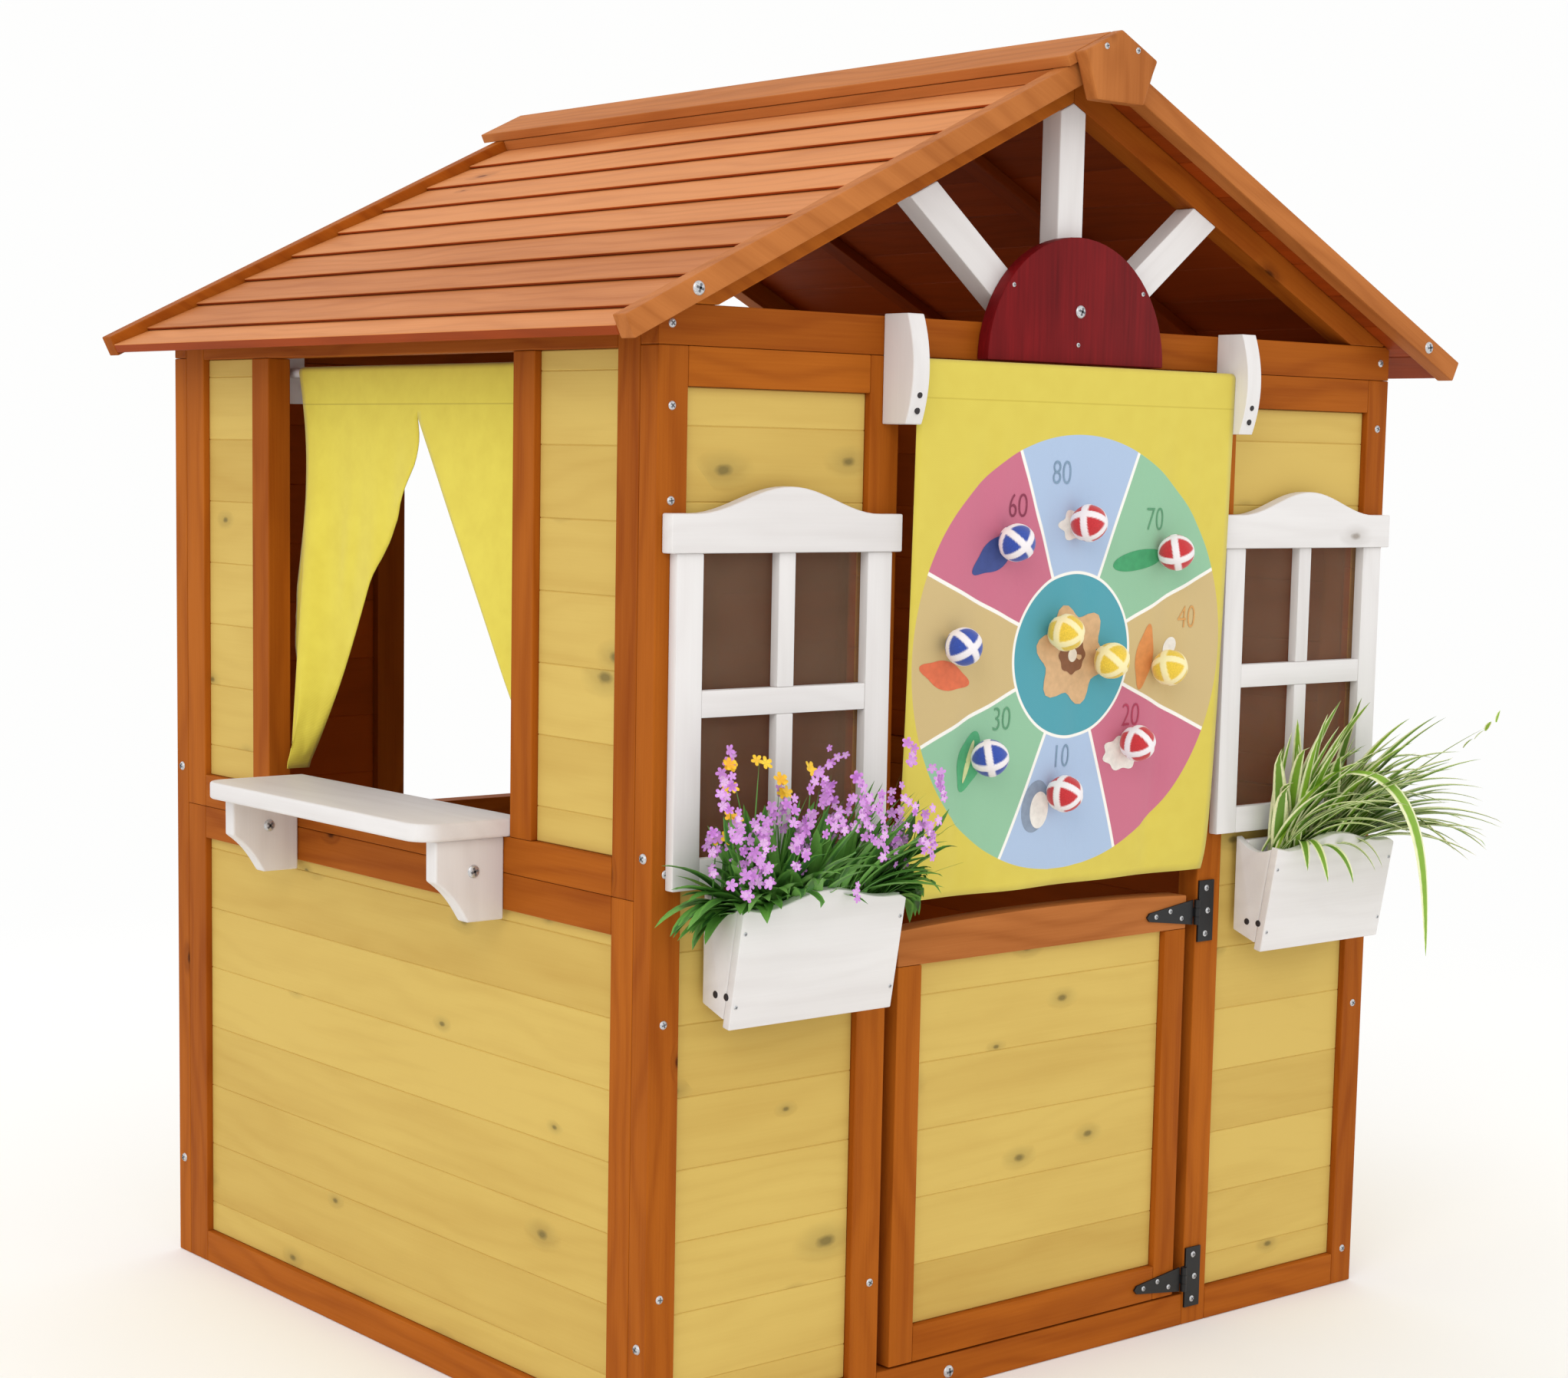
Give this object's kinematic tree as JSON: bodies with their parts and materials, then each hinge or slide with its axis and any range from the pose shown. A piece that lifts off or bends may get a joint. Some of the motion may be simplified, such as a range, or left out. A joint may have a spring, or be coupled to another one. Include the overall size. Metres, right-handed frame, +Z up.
{
  "type": "playhouse",
  "caption": "Wooden playhouse with a slatted gable roof, half door, flower boxes, serving shelf, curtain and a hanging cloth ball target.",
  "frame": {"origin": "middle of the underside of the threshold rail, on the ground", "axes": "+X to the right seen from the front, +Y towards the back, +Z up; the front faces -Y"},
  "size_m": [1.239, 1.116, 1.3621],
  "materials": {
    "brown_wood": "satin stain",
    "yellow_wood": "satin stain over knotty boards",
    "roof_wood": "weathered stain",
    "white_wood": "thin white stain",
    "red_wood": "satin paint",
    "clear_pane": "hazy clear plastic",
    "yellow_cloth": "woven cloth",
    "black_steel": "black powder coat",
    "artificial_plants": "soft plastic leaves"
  },
  "bodies": {
    "house": {"front_left_frame": "brown_wood", "front_left_boards": "yellow_wood", "front_right_frame": "brown_wood", "front_right_boards": "yellow_wood", "threshold_rail": "brown_wood", "left_window_frame": "white_wood", "left_window_pane": "clear_pane", "right_window_frame": "white_wood", "right_window_pane": "clear_pane", "left_planter": "white_wood", "right_planter": "white_wood", "flowers": "artificial_plants", "spider_plant": "artificial_plants", "left_lower_frame": "brown_wood", "left_lower_boards": "yellow_wood", "left_upper_frame": "brown_wood", "left_upper_front_boards": "yellow_wood", "left_upper_rear_boards": "yellow_wood", "right_lower_frame": "brown_wood", "right_lower_boards": "yellow_wood", "right_upper_frame": "brown_wood", "right_upper_boards": "yellow_wood", "rear_left_frame": "brown_wood", "rear_left_boards": "yellow_wood", "rear_right_frame": "brown_wood", "rear_right_boards": "yellow_wood", "rear_centre_frame": "brown_wood", "rear_centre_boards": "yellow_wood", "roof_slats_left": "roof_wood", "front_bargeboard_left": "brown_wood", "rear_bargeboard_left": "brown_wood", "roof_slats_right": "roof_wood", "front_bargeboard_right": "brown_wood", "rear_bargeboard_right": "brown_wood", "ridge_cap": "roof_wood", "ridge_plate": "brown_wood", "front_beam": "brown_wood", "rear_beam": "brown_wood", "front_rafters": "brown_wood", "rear_rafters": "brown_wood", "sun": "red_wood", "ray_left": "white_wood", "ray_centre": "white_wood", "ray_right": "white_wood", "shelf_board": "white_wood", "shelf_bracket_front": "white_wood", "shelf_bracket_rear": "white_wood", "curtain": "yellow_cloth", "curtain_rail": "white_wood", "target_rod": "white_wood", "target_bracket_left": "white_wood", "target_bracket_right": "white_wood", "hinge_leaf_lower": "black_steel", "hinge_leaf_upper": "black_steel"},
    "door": {"door_frame": "brown_wood", "door_boards": "yellow_wood", "hinge_strap_lower": "black_steel", "hinge_strap_upper": "black_steel"},
    "target": {"target_cloth": "yellow_cloth"}
  },
  "joints": [
    {"name": "door_hinge", "type": "hinge", "parent": "house", "child": "door", "pos_m": [0.222, -0.0175, 0.25], "axis": [0, 0, 1], "range_deg": [0, 110]},
    {"name": "target_swing", "type": "hinge", "parent": "house", "child": "target", "pos_m": [0, -0.0345, 1.031], "axis": [-1, 0, 0], "range_deg": [-1.5, 80]}
  ]
}
